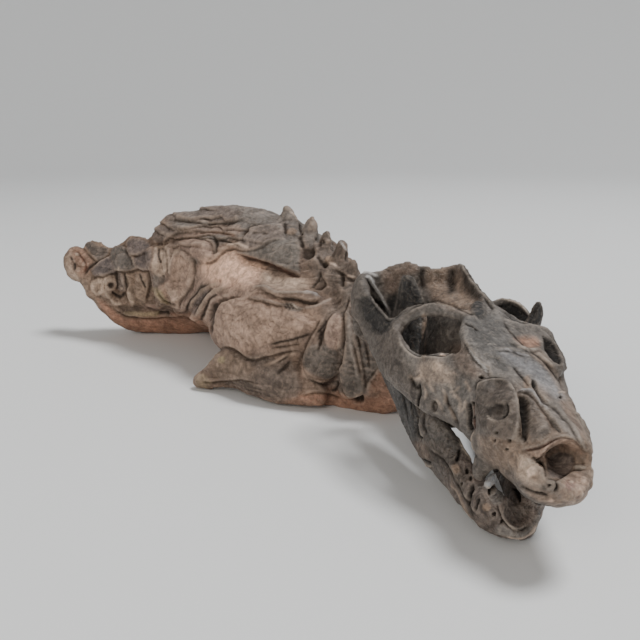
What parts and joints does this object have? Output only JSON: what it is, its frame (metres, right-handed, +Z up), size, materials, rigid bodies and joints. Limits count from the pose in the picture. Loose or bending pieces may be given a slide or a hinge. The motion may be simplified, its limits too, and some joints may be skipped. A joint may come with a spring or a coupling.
{
  "type": "fossil thrinaxodon skeleton in stone",
  "caption": "Fossil of a small mammal-like reptile: a skull with its lower jaw lies in front of the curled trunk, whose ribs, backbone and fore limb are held in stone.",
  "frame": {"origin": "on the flat stone face that the specimen rests on, at the foot of the right fore limb's shoulder region, about the middle of the length", "axes": "+X from the tail end towards the head, along the object's length; +Y towards the animal's left; +Z up, away from the resting face"},
  "size_m": [0.2186, 0.0794, 0.0538],
  "materials": {
    "skull_bone": "mineralised bone: mottled grey-brown and cream, matt with a faint sheen on worn edges",
    "jaw_bone": "mineralised bone: dark grey-brown, paler and tan at the chin and along its edges",
    "trunk_stone": "grey-purple and cream bones in orange-brown siltstone, matt and gritty"
  },
  "bodies": {
    "root": {"cranium": "skull_bone", "lower_jaw": "jaw_bone", "trunk": "trunk_stone"}
  },
  "joints": []
}
